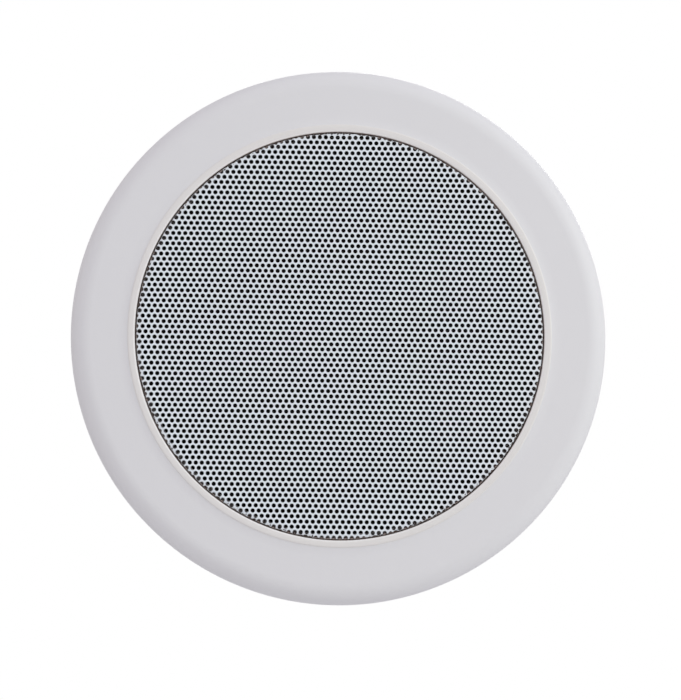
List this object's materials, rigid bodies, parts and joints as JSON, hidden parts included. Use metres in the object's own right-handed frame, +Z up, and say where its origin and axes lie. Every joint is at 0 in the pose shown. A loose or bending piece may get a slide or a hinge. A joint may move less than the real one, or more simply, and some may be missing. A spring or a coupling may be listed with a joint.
{
  "type": "flush-mount bluetooth speaker",
  "caption": "Round white in-wall wireless speaker: wide smooth bezel, raised lip, fine perforated flat grille, rear can with amplifier, and two sprung wall clips.",
  "frame": {"origin": "centre of the bezel's back plane, on the axis of the body that goes through the wall, where the wall's face is", "axes": "-Y out of the grille into the room, +Y into the wall, +Z up, +X to the right seen from the front"},
  "size_m": [0.18, 0.0832, 0.18],
  "materials": {
    "white_plastic": "fine-textured white moulding",
    "coated_steel": "white powder coat on perforated sheet",
    "black_cloth": "thin open weave",
    "foam": "closed-cell foam",
    "basket_steel": "black e-coat on pressed sheet",
    "black_card": "pressed card",
    "rubber_roll": "smooth, slightly dull",
    "cone_paper": "pressed pulp",
    "cap_paper": "pressed pulp",
    "spider_cloth": "resin-dipped weave",
    "amber_film": "clear amber film",
    "copper_wire": "lacquered copper wire",
    "plated_steel": "zinc plate",
    "ferrite": "ground sintered ring",
    "brown_board": "phenolic board",
    "screw_steel": "zinc plate",
    "green_board": "solder mask",
    "shield_tin": "tinned sheet",
    "black_plastic": "fine-textured black moulding",
    "anodised_aluminium": "black anodised",
    "wire_sleeve": "flexible insulation",
    "clip_steel": "zinc-plated strip",
    "spring_steel": "drawn wire",
    "black_rubber": "dipped vinyl"
  },
  "bodies": {
    "frame": {"front_frame": "white_plastic", "wall_gasket": "foam", "grille": "coated_steel", "rear_can": "white_plastic", "can_screws": "screw_steel", "dc_inlet": "black_plastic", "inlet_nut": "screw_steel", "link_socket": "black_plastic", "clip_pin_left": "screw_steel", "clip_pin_right": "screw_steel", "grille_scrim": "black_cloth", "basket_seal": "foam", "basket": "basket_steel", "trim_ring": "black_card", "surround": "rubber_roll", "spider": "spider_cloth", "top_plate": "plated_steel", "magnet": "ferrite", "back_plate": "plated_steel", "tag_strip": "brown_board", "lead_wires": "copper_wire", "basket_screws": "screw_steel", "amp_board": "green_board", "radio_module": "shield_tin", "amp_chip": "black_plastic", "heat_sink": "anodised_aluminium", "capacitors": "black_plastic", "inductors": "ferrite", "board_screws": "screw_steel", "speaker_wires": "wire_sleeve", "supply_wires": "wire_sleeve", "link_wires": "wire_sleeve", "clip_spring_left": "spring_steel", "clip_spring_right": "spring_steel"},
    "cone_body": {"cone": "cone_paper", "dust_cap": "cap_paper", "coil_former": "amber_film", "voice_coil": "copper_wire"},
    "clip_left": {"clip_arm_left": "clip_steel", "clip_pad_left": "black_rubber"},
    "clip_right": {"clip_arm_right": "clip_steel", "clip_pad_right": "black_rubber"}
  },
  "joints": [
    {"name": "cone_travel", "type": "slide", "parent": "frame", "child": "cone_body", "axis": [0, -1, 0], "range_m": [-0.003, 0.003], "stiffness_N_per_m": 1200, "deforming": ["surround", "spider", "lead_wires"]},
    {"name": "clip_left_fold", "type": "hinge", "parent": "frame", "child": "clip_left", "pos_m": [-0.07, 0.02418, 0], "axis": [0, 0, -1], "range_deg": [0, 150], "stiffness_Nm_per_rad": 0.1, "springref_deg": -57.3, "deforming": ["clip_spring_left"]},
    {"name": "clip_right_fold", "type": "hinge", "parent": "frame", "child": "clip_right", "pos_m": [0.07, 0.02418, 0], "axis": [0, 0, 1], "range_deg": [0, 150], "stiffness_Nm_per_rad": 0.1, "springref_deg": -57.3, "deforming": ["clip_spring_right"]}
  ]
}
